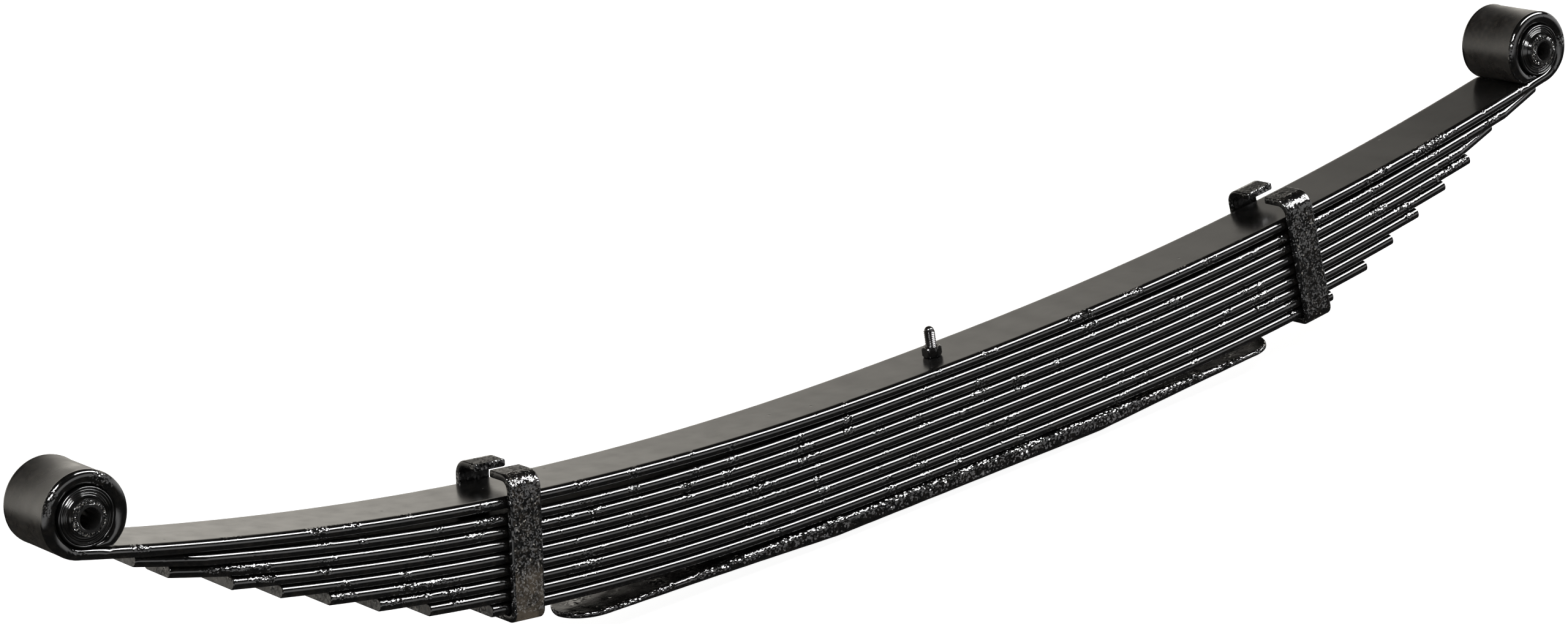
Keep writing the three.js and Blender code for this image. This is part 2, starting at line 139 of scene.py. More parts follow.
FILL_PLACE = Vector((-0.6, -1.4, 4.2))
FILL_TARGET = Vector((0.0, 0.0, 0.0))
FILL_SIZE = 4.0
FILL_POWER = 160.0


def link(tree, a, b):
    tree.links.new(a, b)


def faded(tree, source, span, low, high):
    """source carried smoothly from low to high over that span."""
    node = tree.nodes.new("ShaderNodeMapRange")
    node.interpolation_type = "SMOOTHSTEP"
    node.inputs["From Min"].default_value, node.inputs["From Max"].default_value = span
    node.inputs["To Min"].default_value = low
    node.inputs["To Max"].default_value = high
    link(tree, source, node.inputs["Value"])
    return node.outputs["Result"]


def times(tree, a, b):
    node = tree.nodes.new("ShaderNodeMath")
    node.operation = "MULTIPLY"
    link(tree, a, node.inputs[0])
    link(tree, b, node.inputs[1])
    return node.outputs["Value"]


def room():
    """Two pale walls, a low one in front and a warmer, taller one behind; the rest is dark."""
    world = bpy.data.worlds.new("studio_room")
    bpy.context.scene.world = world
    world.use_nodes = True
    tree = world.node_tree
    tree.nodes.clear()
    where = tree.nodes.new("ShaderNodeTexCoord")
    split = tree.nodes.new("ShaderNodeSeparateXYZ")
    link(tree, where.outputs["Generated"], split.inputs["Vector"])
    glows = []
    for foot, head, strength, colour in (
        (FRONT_FOOT, FRONT_HEAD, FRONT_GLOW, WHITE),
        (BACK_FOOT, BACK_HEAD, BACK_GLOW, BACK_COLOUR),
    ):
        rise = faded(tree, split.outputs["Z"], foot, DARK_SHARE, 1.0)
        fall = faded(tree, split.outputs["Z"], head, strength, strength * DARK_SHARE)
        glow = tree.nodes.new("ShaderNodeBackground")
        glow.inputs["Color"].default_value = colour
        link(tree, times(tree, rise, fall), glow.inputs["Strength"])
        glows.append(glow)
    both = tree.nodes.new("ShaderNodeMixShader")
    out = tree.nodes.new("ShaderNodeOutputWorld")
    link(tree, faded(tree, split.outputs["Y"], CORNER, 0.0, 1.0), both.inputs["Fac"])
    link(tree, glows[0].outputs["Background"], both.inputs[1])
    link(tree, glows[1].outputs["Background"], both.inputs[2])
    link(tree, both.outputs["Shader"], out.inputs["Surface"])


def soft_box(name, place, target, length, width, power):
    """A rectangular area light at place, turned towards target, its length along X."""
    data = bpy.data.lights.new(name, "AREA")
    data.shape = "RECTANGLE"
    data.size = length
    data.size_y = width
    data.energy = power
    lamp = bpy.data.objects.new(name, data)
    bpy.context.scene.collection.objects.link(lamp)
    ray = (place - target).normalized()
    side = Vector((1.0, 0.0, 0.0))
    side = (side - ray * side.dot(ray)).normalized()
    top = ray.cross(side)
    lamp.matrix_world = placed(side, top, ray, place)
    return lamp


room()
overhead = soft_box("overhead_box", BOX_PLACE, BOX_TARGET, BOX_LENGTH, BOX_WIDTH, BOX_POWER)
overhead.visible_diffuse = False
left_box = soft_box(
    "left_box", LEFT_BOX_PLACE, LEFT_BOX_TARGET, LEFT_BOX_LENGTH, LEFT_BOX_WIDTH, LEFT_BOX_POWER,
)
left_box.visible_diffuse = False
fill = soft_box("fill_box", FILL_PLACE, FILL_TARGET, FILL_SIZE, FILL_SIZE, FILL_POWER)
fill.visible_glossy = False
bpy.context.scene.view_settings.view_transform = "Standard"

floor_mesh = bpy.data.meshes.new("studio_floor")
half = FLOOR_SIZE / 2
floor_mesh.from_pydata(
    [(-half, -half, 0.0), (half, -half, 0.0), (half, half, 0.0), (-half, half, 0.0)],
    [],
    [(0, 1, 2, 3)],
)
studio_floor = bpy.data.objects.new("studio_floor", floor_mesh)
bpy.context.scene.collection.objects.link(studio_floor)
floor_paper = bpy.data.materials.new("floor_paper")
floor_paper.use_nodes = True
paper = floor_paper.node_tree.nodes["Principled BSDF"]
paper.inputs["Base Color"].default_value = FLOOR_COLOUR
paper.inputs["Roughness"].default_value = FLOOR_ROUGHNESS
paper.inputs["Specular IOR Level"].default_value = 0.0
paper.inputs["Emission Color"].default_value = WHITE
paper.inputs["Emission Strength"].default_value = FLOOR_GLOW
floor_mesh.materials.append(floor_paper)
studio_floor.visible_glossy = False
print("studio: walls", FRONT_GLOW, BACK_GLOW, "box", BOX_POWER, "W")

# %% [markdown]
# The paint is brushed or dipped enamel over scaly rolled steel. One helper makes every
# variant. A broad waviness, a fine orange peel, drawn lines and small pits are bumps, and
# each feeds the next. Grains under the paint catch sparks of light. A bump fine enough
# for them would blur every highlight, so each grain tilts the surface its own way
# instead, and only in patches. Pale spots painted in as glints, and worn, dusty paint, lie over the
# colour.

# %% Paint maker
MM = 0.001
GLOSS_SCALE = 60.0
WAVE_SCALE = 130.0
PEEL_SCALE = 700.0
DUST_SCALE = 240.0
PATCH_SCALE = 45.0
WORN_SCALE = 90.0
FINE_DETAIL = 6.0
GLOSS_RANGE = (0.3, 0.7)
DUST_RANGE = (0.45, 0.75)
WORN_RANGE = (0.40, 0.60)
WORN_LEAST = 0.15
PIT_SQUASH = 0.03
PIT_CHANCE = (0.72, 0.74)
PIT_RIM = (0.03, 0.08)
# Painted glints: pale spots in scattered cells that stand in for sparks of light.
GLINT_SIZE = 800.0
GLINT_FADE = 0.5
PAINTED_GLINT_COLOUR = (0.20, 0.19, 0.17, 1.0)
WORN_COLOUR = (0.060, 0.049, 0.037, 1.0)


def added(tree, kind, **values):
    """A new node with those input values."""
    node = tree.nodes.new(kind)
    for key, value in values.items():
        node.inputs[key.replace("_", " ")].default_value = value
    return node


def ramp(tree, source, low, high, to_low, to_high):
    """source, carried from the range low to high into to_low to to_high, and clamped."""
    node = added(
        tree, "ShaderNodeMapRange",
        From_Min=low, From_Max=high, To_Min=to_low, To_Max=to_high,
    )
    link(tree, source, node.inputs["Value"])
    return node.outputs["Result"]


def stretched(tree, where, scale):
    """Texture coordinates squeezed by a different amount along each axis."""
    node = tree.nodes.new("ShaderNodeMapping")
    node.inputs["Scale"].default_value = scale
    link(tree, where, node.inputs["Vector"])
    return node.outputs["Vector"]


def cloudy(tree, where, scale, detail=3.0):
    """Soft noise with a given number of blotches per metre."""
    node = added(tree, "ShaderNodeTexNoise", Scale=scale, Detail=detail)
    link(tree, where, node.inputs["Vector"])
    return node.outputs["Fac"]


def cells(tree, where, scale):
    """Scattered cells, for pits, grains and specks."""
    node = added(tree, "ShaderNodeTexVoronoi", Scale=scale)
    link(tree, where, node.inputs["Vector"])
    return node


def raised(tree, height, depth, below=None):
    """A bump layer of that depth in millimetres over the layer below."""
    node = added(tree, "ShaderNodeBump", Strength=1.0, Distance=depth * MM)
    link(tree, height, node.inputs["Height"])
    if below is not None:
        link(tree, below, node.inputs["Normal"])
    return node.outputs["Normal"]


def combined(tree, operation, vector, other, socket=1):
    """A vector worked on by another value, which is a socket or a plain vector."""
    node = tree.nodes.new("ShaderNodeVectorMath")
    node.operation = operation
    link(tree, vector, node.inputs[0])
    if isinstance(other, tuple):
        node.inputs[socket].default_value = other
    elif other is not None:
        link(tree, other, node.inputs[socket])
    return node.outputs["Vector"]


def covered(tree, base, colour, share):
    """A colour laid over base, which is a socket or a plain colour, by that share."""
    mix = tree.nodes.new("ShaderNodeMix")
    mix.data_type = "RGBA"
    mix.inputs["B"].default_value = colour
    if isinstance(base, tuple):
        mix.inputs["A"].default_value = base
    else:
        link(tree, base, mix.inputs["A"])
    link(tree, share, mix.inputs["Factor"])
    return mix.outputs["Result"]


def tilted(tree, where, size, tilt, patch, normal):
    """Grains that each face their own way and catch sparks of light, thick in patches."""
    grains = cells(tree, where, size)
    amount = ramp(tree, cloudy(tree, where, PATCH_SCALE), patch[0], patch[1], 0.0, tilt)
    centred = combined(tree, "SUBTRACT", grains.outputs["Color"], (0.5, 0.5, 0.5))
    lean = combined(tree, "SCALE", centred, amount, "Scale")
    return combined(tree, "NORMALIZE", combined(tree, "ADD", normal, lean), None)


def painted_glints(tree, where, finish, share):
    """Pale spots painted into that share of the paint's cells, standing in for glints."""
    dots = cells(tree, where, GLINT_SIZE)
    chance = tree.nodes.new("ShaderNodeSeparateColor")
    link(tree, dots.outputs["Color"], chance.inputs["Color"])
    chosen = ramp(tree, chance.outputs["Red"], share, share * GLINT_FADE, 0.0, 1.0)
    return covered(tree, finish, PAINTED_GLINT_COLOUR, chosen)


def rubbed(tree, where, finish, span):
    """Worn, dusty paint below a height: span is where it is full and where it ends."""
    split = tree.nodes.new("ShaderNodeSeparateXYZ")
    link(tree, where, split.inputs["Vector"])
    low = faded(tree, split.outputs["Z"], span, 1.0, 0.0)
    blotch = ramp(tree, cloudy(tree, where, WORN_SCALE, FINE_DETAIL), *WORN_RANGE, WORN_LEAST, 1.0)
    return covered(tree, finish, WORN_COLOUR, times(tree, low, blotch))


def enamel(
    name, colour, gloss, peel=0.02, wave=0.05, grain=0.0, grain_size=600.0, patch=(0.5, 0.7),
    pits=0.0, pit_size=60.0, dust=0.0, dust_colour=(0.10, 0.08, 0.06, 1.0), lines=None,
    line_depth=0.0, shine=0.5, worn=None, glint_share=0.0,
):
    """A painted finish; gloss is the lowest and highest roughness, depths are in mm."""
    material = bpy.data.materials.new(name)
    material.use_nodes = True
    tree = material.node_tree
    shader = tree.nodes["Principled BSDF"]
    where = tree.nodes.new("ShaderNodeTexCoord").outputs["Object"]
    broad = cloudy(tree, where, GLOSS_SCALE)
    link(tree, ramp(tree, broad, *GLOSS_RANGE, *gloss), shader.inputs["Roughness"])
    normal = raised(tree, cloudy(tree, where, WAVE_SCALE, 2.0), wave)
    normal = raised(tree, cloudy(tree, where, PEEL_SCALE, 2.0), peel, normal)
    if lines:
        drawn = cloudy(tree, stretched(tree, where, lines), 1.0, 4.0)
        normal = raised(tree, drawn, line_depth, normal)
    if pits:
        dots = cells(tree, stretched(tree, where, (1.0, 1.0, PIT_SQUASH)), pit_size)
        chance = tree.nodes.new("ShaderNodeSeparateColor")
        link(tree, dots.outputs["Color"], chance.inputs["Color"])
        chosen = ramp(tree, chance.outputs["Red"], *PIT_CHANCE, 0.0, 1.0)
        dip = ramp(tree, dots.outputs["Distance"], *PIT_RIM, 0.0, 1.0)
        either = added(tree, "ShaderNodeMath")
        either.operation = "MAXIMUM"
        keep = ramp(tree, chosen, 0.0, 1.0, 1.0, 0.0)
        link(tree, keep, either.inputs[0])
        link(tree, dip, either.inputs[1])
        normal = raised(tree, either.outputs["Value"], pits, normal)
    dusty = ramp(tree, cloudy(tree, where, DUST_SCALE, FINE_DETAIL), *DUST_RANGE, 0.0, dust)
    finish = covered(tree, colour, dust_colour, dusty)
    # Pale spots painted over the finish as glints.
    if glint_share:
        finish = painted_glints(tree, where, finish, glint_share)
    if worn:
        finish = rubbed(tree, where, finish, worn)
    if grain:
        normal = tilted(tree, where, grain_size, grain, patch, normal)
    link(tree, finish, shader.inputs["Base Color"])
    link(tree, normal, shader.inputs["Normal"])
    shader.inputs["Specular IOR Level"].default_value = shine
    return material


BLACK = (0.003, 0.003, 0.003, 1.0)
flat_enamel = enamel("flat_enamel", BLACK, (0.16, 0.26), 0.004, 0.02, pits=0.5, dust=0.04)
edge_enamel = enamel(
    "edge_enamel", BLACK, (0.06, 0.12), 0.008, 0.07, grain=0.7, grain_size=760.0,
    patch=(0.54, 0.68), dust=0.05,
)
end_enamel = enamel(
    "end_enamel", (0.02, 0.02, 0.02, 1.0), (0.2, 0.4), 0.01, 0.04, grain=0.5, grain_size=600.0,
    patch=(0.40, 0.6), lines=(30.0, 900.0, 60.0), line_depth=0.25, dust=0.25,
)
barrel_enamel = enamel(
    "barrel_enamel", (0.011, 0.010, 0.009, 1.0), (0.22, 0.38), 0.006, 0.03,
    lines=(900.0, 25.0, 900.0), line_depth=0.02, dust=0.12,
)
print("paints:", [m.name for m in bpy.data.materials])

# %% [markdown]
# Every leaf is a flat bar that follows one camber line. The line has no closed formula:
# it is nearly straight where the axle clamps it, and curves more towards the ends. So its
# bend is summed in one-millimetre steps, and any point on it is read back from the table.

# %% Camber line
LEAF_WIDTH = 63.5
LEAF_THICK = 9.7
FIT_GAP = 0.3
LEAF_PITCH = LEAF_THICK + FIT_GAP
SEAT_BEND = 5800.0
FRONT_BEND = 2530.0
REAR_BEND = 3565.0
SEAT_LENGTH = 139.0
SEAT_Z = 6.3
OVERLOAD_THICK = 15.3
PILE_COUNT = 9
MAIN_TOP_Z = SEAT_Z + OVERLOAD_THICK + PILE_COUNT * LEAF_PITCH
LONGEST_ARC = 860

bolt_low, bolt_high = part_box("centre_bolt")
BOLT_X = (bolt_low.x + bolt_high.x) / 2 / MM


def camber_table(side):
    """Offsets x, z and slope of the main leaf's upper face for each millimetre of arc."""
    bend = 1 / (FRONT_BEND if side < 0 else REAR_BEND)
    seat = 1 / SEAT_BEND
    middles = np.arange(LONGEST_ARC) + 0.5
    bends = bend - (bend - seat) * np.exp(-((middles / SEAT_LENGTH) ** 2))
    slopes = np.concatenate([[0.0], np.cumsum(bends)])
    halfway = (slopes[:-1] + slopes[1:]) / 2
    xs = np.concatenate([[0.0], np.cumsum(np.cos(halfway))])
    zs = np.concatenate([[0.0], np.cumsum(np.sin(halfway))])
    return side * xs, zs, side * slopes


TABLES = {-1: camber_table(-1), 1: camber_table(1)}
MARKS = np.arange(LONGEST_ARC + 1)


def camber(arc, depth=0.0):
    """Point x, z and slope at an arc from the bolt, some depth under the upper face."""
    xs, zs, slopes = TABLES[-1 if arc < 0 else 1]
    x, z, slope = (float(np.interp(abs(arc), MARKS, column)) for column in (xs, zs, slopes))
    x += BOLT_X + math.sin(slope) * depth
    z += MAIN_TOP_Z - math.cos(slope) * depth
    return x, z, slope


print("bolt at x =", round(BOLT_X, 2), "mm")
print("front tip of the line:", [round(v, 1) for v in camber(-800)])

# %% [markdown]
# All the bars here are swept: a rounded section is stood on one frame after another and
# the rings are joined. A curve object with a bevel would do it too, but it can't narrow
# the width and thickness separately, and it can't tell the flat faces from the edges. Each
# face gets its paint from the part of the section it lies on. An extra point beside each
# corner keeps the flat faces shaded flat, so they don't look pillowed.

# %% Sweep helper
CORNER_STEPS = 6
LEAST_RADIUS = 0.02
BROAD_DENT = 16.0
FINE_DENT = 5.0
FINE_SHARE = 0.5
FLAT_SHARE = 0.25
END_BEVEL = 0.7
FLAT_LEAD = 1.2
EDGE_RADIUS = 4.7
EDGE_SHARE = 0.485
SMOOTH_ANGLE = math.radians(38)
FLAT, EDGE, CAP, UNDER = 0, 1, 2, 3


def section(width, thick, radius, inset=0.0):
    """Rounded rectangle as (across, height) points, from the upper right corner round."""
    radius = min(radius, thick * EDGE_SHARE, width * EDGE_SHARE)
    w = width / 2 - radius
    h = thick / 2 - radius
    r = max(radius - inset, LEAST_RADIUS)
    lead = min(FLAT_LEAD, w / 2)
    points = []
    for cw, ch, quarter in ((w, h, 0), (-w, h, 1), (-w, -h, 2), (w, -h, 3)):
        flat = (math.copysign(abs(cw) - lead, cw), ch + math.copysign(r, ch))
        arc = []
        for i in range(CORNER_STEPS + 1):
            angle = (quarter + i / CORNER_STEPS) * math.pi / 2
            arc.append((cw + r * math.cos(angle), ch + r * math.sin(angle)))
        points += arc + [flat] if quarter % 2 == 0 else [flat] + arc
    return points


def section_paints():
    """Which paint each side of the section wears: flat top, edges, or flat underside."""
    paints = []
    for flat in (FLAT, UNDER):
        paints += [EDGE] * CORNER_STEPS + [flat] * 3 + [EDGE] * (CORNER_STEPS + 1)
    return paints


def uneven(point, size, amount):
    """A small, steady unevenness of rolled steel at that place, in millimetres."""
    return amount * noise.noise(Vector(point) / size)


def swept(name, stations, paints, wobble=0.05):
    """A closed bar from stations (origin, across, height, width, thick, radius), in mm."""
    first, last = stations[0], stations[-1]
    rings = [(s, 0.0) for s in stations]
    rings = [(first, END_BEVEL)] + [(moved(first, stations[1]), 0.0)] + rings[1:-1]
    rings += [(moved(last, stations[-2]), 0.0), (last, END_BEVEL)]
    side = section_paints()
    verts = []
    for (origin, across, height, width, thick, radius), inset in rings:
        for a, h in section(width, thick, radius, inset):
            point = origin + across * a + height * h
            push = uneven(point, BROAD_DENT, wobble) + uneven(point, FINE_DENT, wobble * FINE_SHARE)
            outward = (across * (1 if a > 0 else -1) + height * (1 if h > 0 else -1)).normalized()
            edge = abs(a) > width / 2 - radius * 1.01
            verts.append((point + outward * push * (1.0 if edge else FLAT_SHARE)) * MM)
    count = len(side)
    faces = []
    wears = []
    for r in range(len(rings) - 1):
        for i in range(count):
            j = (i + 1) % count
            faces.append((r * count + i, r * count + j, (r + 1) * count + j, (r + 1) * count + i))
            wears.append(CAP if r in (0, len(rings) - 2) and side[i] != EDGE else side[i])
    faces.append(tuple(range(count)))
    faces.append(tuple(len(verts) - 1 - i for i in range(count)))
    wears += [CAP, CAP]
    return piece(name, verts, faces, paints, wears)


def moved(station, towards):
    """The same station, slid a bevel's depth along the bar."""
    step = (towards[0] - station[0]).normalized() * END_BEVEL
    return (station[0] + step,) + station[1:]


def piece(name, verts, faces, paints, wears=None, smooth=SMOOTH_ANGLE):
    """A mesh object with outward faces, smooth except at its sharp edges."""
    mesh = bpy.data.meshes.new(name)
    mesh.from_pydata([tuple(v) for v in verts], [], faces)
    for paint in paints:
        mesh.materials.append(paint)
    if wears:
        mesh.polygons.foreach_set("material_index", wears)
    work = bmesh.new()
    work.from_mesh(mesh)
    bmesh.ops.recalc_face_normals(work, faces=work.faces)
    work.to_mesh(mesh)
    work.free()
    mesh.polygons.foreach_set("use_smooth", [True] * len(mesh.polygons))
    mesh.set_sharp_from_angle(angle=smooth)
    thing = bpy.data.objects.new(name, mesh)
    bpy.context.scene.collection.objects.link(thing)
    return thing


def fitted(thing, node, body):
    """Stands a rigid piece in for its CAD node, on that body."""
    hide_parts(node)
    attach(thing, body)


ACROSS = Vector((0.0, 1.0, 0.0))


def square_to(slope):
    """The direction square to the bar where it has that slope."""
    return Vector((-math.sin(slope), 0.0, math.cos(slope)))


def leaf_station(place, width, thick, radius=EDGE_RADIUS):
    """A station on a camber frame; place is x, z and slope of the bar's middle."""
    x, z, slope = place
    return (Vector((x, 0.0, z)), ACROSS, square_to(slope), width, thick, radius)


print("section has", len(section(LEAF_WIDTH, LEAF_THICK, EDGE_RADIUS)), "points")

# %% [markdown]
# Holes are drilled after the bars are made. The rings run across the hole, so cutting it
# while sweeping would be a puzzle, and a boolean with a short peg is exactly what the
# drill does.

# %% Drill helper
BOLT_HOLE_RADIUS = 5.3
HOLE_SEGMENTS = 32


def drill(bar, x, z, slope, radius, depth):
    """Cuts a round hole through bar, square to a camber frame at x, z."""
    verts = []
    for end in (-depth / 2, depth / 2):
        for i in range(HOLE_SEGMENTS):
            turn = 2 * math.pi * i / HOLE_SEGMENTS
            across, along = radius * math.cos(turn), radius * math.sin(turn)
            verts.append(Vector((
                x + along * math.cos(slope) - end * math.sin(slope),
                across,
                z + along * math.sin(slope) + end * math.cos(slope),
            )) * MM)
    n = HOLE_SEGMENTS
    faces = [(i, (i + 1) % n, n + (i + 1) % n, n + i) for i in range(n)]
    faces += [tuple(range(n)), tuple(2 * n - 1 - i for i in range(n))]
    peg = piece("peg", verts, faces, [])
    cutter = bar.modifiers.new("drill", "BOOLEAN")
    cutter.operation = "DIFFERENCE"
    cutter.solver = "EXACT"
    cutter.object = peg
    bpy.context.view_layer.objects.active = bar
    bpy.ops.object.modifier_apply(modifier=cutter.name)
    bpy.data.objects.remove(peg)
    bar.data.set_sharp_from_angle(angle=SMOOTH_ANGLE)
    return bar


print("drill ready, bolt hole radius", BOLT_HOLE_RADIUS)

# %% [markdown]
# Leaves 2 to 9 get shorter down the pack, like steps. The two longest below the main leaf
# have their corners clipped so their tips spread the load; the rest are sheared square.
# The main leaf rides a little clear of leaf 2 between the seat and the tips, a gap a
# spring maker calls nip. Leaf 9 has a wide seat over each clip's rivet, so the two stay
# clear of each other while the leaf bends.

# %% Graduated leaves
FRONT_NIP = 3.6
REAR_NIP = 2.0
STATION_STEP = 3.0
CLIP_CORNER = 52.0
TIP_WIDTH = 40.0
LEAVES = (
    ("leaf_2", 751, 688, True),
    ("leaf_3", 722, 628, True),
    ("leaf_4", 676, 585, False),
    ("leaf_5", 635, 551, False),
    ("leaf_6", 594, 515, False),
    ("leaf_7", 552, 481, False),
    ("leaf_8", 509, 447, False),
    ("leaf_9", 455, 404, False),
)
LEAF_PAINTS = [flat_enamel, edge_enamel, end_enamel, flat_enamel]


def nip(arc):
    """Gap between the main leaf and leaf 2: none at the bolt, most half way out."""
    reach = LEAVES[0][1] if arc < 0 else LEAVES[0][2]
    most = FRONT_NIP if arc < 0 else REAR_NIP
    return most * math.sin(math.pi * min(abs(arc) / reach, 1.0)) ** 2


def leaf_depth(index, arc):
    """Depth of a leaf's upper face under the main leaf's."""
    return 0.0 if index == 0 else index * LEAF_PITCH + nip(arc)


def tip_width(arc, front, rear):
    """Width near the ends of a leaf whose corners are clipped."""
    to_tip = front + arc if arc < 0 else rear - arc
    share = min(max(to_tip / CLIP_CORNER, 0.0), 1.0)
    return TIP_WIDTH + (LEAF_WIDTH - TIP_WIDTH) * share


def arcs_between(front, rear, extra=()):
    """Evenly spaced arcs from one tip to the other, plus any that have to be hit."""
    count = round((front + rear) / STATION_STEP)
    arcs = list(np.linspace(-front, rear, count + 1)) + list(extra)
    return sorted(float(a) for a in arcs)


def finished_leaf(bar, node):
    """Drills the bolt hole, stands the bar in for its CAD node, and bakes its placement into its
    mesh.
    """
    drill(bar, BOLT_X, 0.0, 0.0, BOLT_HOLE_RADIUS, 3 * MAIN_TOP_Z)
    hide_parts(node)
    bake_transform(bar)


CLIP_ARCS = {-1: -427.0, 1: 380.0}
RIVET_HOLE_RADIUS = 4.35
RIVET_SEAT_RADIUS = 8.6
for number, (node, front, rear, clipped) in enumerate(LEAVES, start=1):
    arcs = arcs_between(front, rear, (CLIP_CORNER - front, rear - CLIP_CORNER) if clipped else ())
    stations = [
        leaf_station(
            camber(arc, leaf_depth(number, arc) + LEAF_THICK / 2),
            tip_width(arc, front, rear) if clipped else LEAF_WIDTH,
            LEAF_THICK,
        )
        for arc in arcs
    ]
    bar = swept("spring_" + node, stations, LEAF_PAINTS)
    if node == "leaf_9":
        for arc in CLIP_ARCS.values():
            foot = camber(arc, leaf_depth(number, arc) + LEAF_THICK / 2)
            drill(bar, *foot, RIVET_SEAT_RADIUS, 2 * LEAF_THICK)
    finished_leaf(bar, node)
    print(node, "arc", -front, "to", rear, "with", len(bar.data.polygons), "faces")

# %% [markdown]
# The main leaf is one bar whose ends are heated and rolled round a mandrel into eyes. The
# same sweep makes it: the frames run round the eye, along the camber and round the other
# eye. What was the underside of the bar becomes the outside of the barrel, so it gets the
# rubbed barrel finish there. Rolling also makes the bar's two edges stand a little proud.

# %% Main leaf
FRONT_EYE_ARC = 800
REAR_EYE_ARC = 691
EYE_RADIUS = 32.5
EYE_WRAP = math.radians(336)
EYE_STATIONS = 84
ROLL_END_GAP = 0.5
FLARE = 3.2
FLARE_POWER = 4
FLARE_EASE = 0.9
FLARE_REACH = 1


def eye_centre(side):
    return camber(-FRONT_EYE_ARC if side < 0 else REAR_EYE_ARC, LEAF_THICK - EYE_RADIUS)


def roll_thickness(turn):
    """Full until the outside of the roll meets the leaf, then thinned to lie on it."""
    left = 2 * math.pi - turn
    inner = EYE_RADIUS - LEAF_THICK
    if left > math.pi / 2:
        return LEAF_THICK
    return min(LEAF_THICK, (inner - ROLL_END_GAP) / math.cos(left) - inner)


def eye_stations(side):
    """Frames round an eye, from under its centre to the end of the roll."""
    x, z, start = eye_centre(side)
    stations = []
    for i in range(1, EYE_STATIONS + 1):
        turn = EYE_WRAP * i / EYE_STATIONS
        slope = start + side * turn
        thick = roll_thickness(turn)
        radius = EYE_RADIUS - LEAF_THICK + thick / 2
        place = (x + math.sin(slope) * radius, z - math.cos(slope) * radius, slope)
        stations.append(leaf_station(place, LEAF_WIDTH, thick))
    return stations


def flare_edges(bar):
    """Rolling a wide bar curls its two edges outwards, so they stand proud of the barrel."""
    for vertex in bar.data.vertices:
        across = abs(vertex.co.y) / MM / (LEAF_WIDTH / 2)
        for side in (-1, 1):
            x, z, start = eye_centre(side)
            dx, dz = vertex.co.x / MM - x, vertex.co.z / MM - z
            reach = math.hypot(dx, dz)
            turn = side * (math.atan2(dx, -dz) - start) % (2 * math.pi)
            if reach > EYE_RADIUS + FLARE_REACH or turn > EYE_WRAP:
                continue
            eased = min(turn / FLARE_EASE, (EYE_WRAP - turn) / FLARE_EASE, 1.0)
            outer = max(reach - EYE_RADIUS + LEAF_THICK, 0.0) / LEAF_THICK
            push = FLARE * across ** FLARE_POWER * outer * eased * MM
            vertex.co.x += dx / reach * push
            vertex.co.z += dz / reach * push


along = [
    leaf_station(camber(arc, LEAF_THICK / 2), LEAF_WIDTH, LEAF_THICK)
    for arc in arcs_between(FRONT_EYE_ARC, REAR_EYE_ARC)
]
main_leaf = swept(
    "spring_main_leaf",
    eye_stations(-1)[::-1] + along + eye_stations(1),
    [flat_enamel, edge_enamel, end_enamel, barrel_enamel],
)
flare_edges(main_leaf)
finished_leaf(main_leaf, "main_leaf")
for side in (-1, 1):
    x, z, slope = eye_centre(side)
    print("eye centre", round(x, 1), round(z, 1), "slope", round(math.degrees(slope), 1))

# %% [markdown]
# The overload leaf is forged thicker and nearly flat. It only works under a heavy load,
# so its ends are drawn out thin and rounded in plan, and they slide under the pack.

# %% Overload leaf
OVERLOAD_TIP = 4.6
OVERLOAD_FLAT = 140.0
OVERLOAD_REACH = {-1: 392.0, 1: 347.0}
OVERLOAD_RISE = 2.2
OVERLOAD_TOP_Z = SEAT_Z + OVERLOAD_THICK
ROUND_STEPS = 18
TIP_SLIVER = 4.0
OVERLOAD_WOBBLE = 0.12


def overload_station(x):
    side = -1 if x < 0 else 1
    reach = OVERLOAD_REACH[side]
    radius = LEAF_WIDTH / 2
    past_seat = max(0.0, abs(x) - OVERLOAD_FLAT)
    share = min(past_seat / (reach - radius - OVERLOAD_FLAT), 1.0)
    thick = OVERLOAD_THICK + (OVERLOAD_TIP - OVERLOAD_THICK) * share
    past = max(0.0, abs(x) - (reach - radius))
    width = max(2 * math.sqrt(max(radius ** 2 - past ** 2, 0.0)), TIP_SLIVER)
    top = OVERLOAD_TOP_Z + OVERLOAD_RISE * past_seat / OVERLOAD_REACH[-1]
    return leaf_station((x + BOLT_X, top - thick / 2, 0.0), width, thick)


def overload_xs():
    radius = LEAF_WIDTH / 2
    xs = list(np.arange(-OVERLOAD_REACH[-1] + radius, OVERLOAD_REACH[1] - radius, STATION_STEP))
    for side, reach in OVERLOAD_REACH.items():
        for i in range(ROUND_STEPS + 1):
            past = radius * math.sin(math.pi / 2 * i / ROUND_STEPS)
            xs.append(side * (reach - radius + past))
    return sorted(set(round(float(x), 4) for x in xs))


overload_top = enamel(
    "overload_top", BLACK, (0.12, 0.3), 0.03, 0.16, grain=0.25, grain_size=500.0,
    pits=0.5, dust=0.05,
)
overload_side = enamel(
    "overload_side", BLACK, (0.07, 0.16), 0.02, 0.25, grain=1.0, grain_size=600.0,
    patch=(0.30, 0.6), dust=0.06,
)
overload = swept(
    "spring_overload_leaf",
    [overload_station(x) for x in overload_xs()],
    [overload_top, overload_side, overload_side, overload_side],
    wobble=OVERLOAD_WOBBLE,
)
finished_leaf(overload, "overload_leaf")
print("overload leaf", [round(v, 3) for v in overload.dimensions])

# %% [markdown]
# A clip keeps the leaves together when the spring rebounds. It is a strap riveted under
# the shortest leaf, bent up both sides and over the top, with its two ends left apart so
# it can be opened. It is swept like a leaf, round a path that lies across the spring. The
# front one's leg is worn and dusty low down, so each end has a leg paint of its own.

# %% Clips
CLIP_WIDTH = 28.0
CLIP_THICK = 6.0
CLIP_CLEARANCE = 1.1
CLIP_HEAD_ROOM = 11.5
CLIP_TAB_GAP = 20.0
CLIP_BASE_RADIUS = 9.0
CLIP_TOP_RADIUS = 13.0
CLIP_EDGE = 1.6
BEND_STEPS = 14
LEG_STEP = 5.0
TAB_MARGIN = 6
CLIP_WOBBLE = 0.10
TAB = UNDER

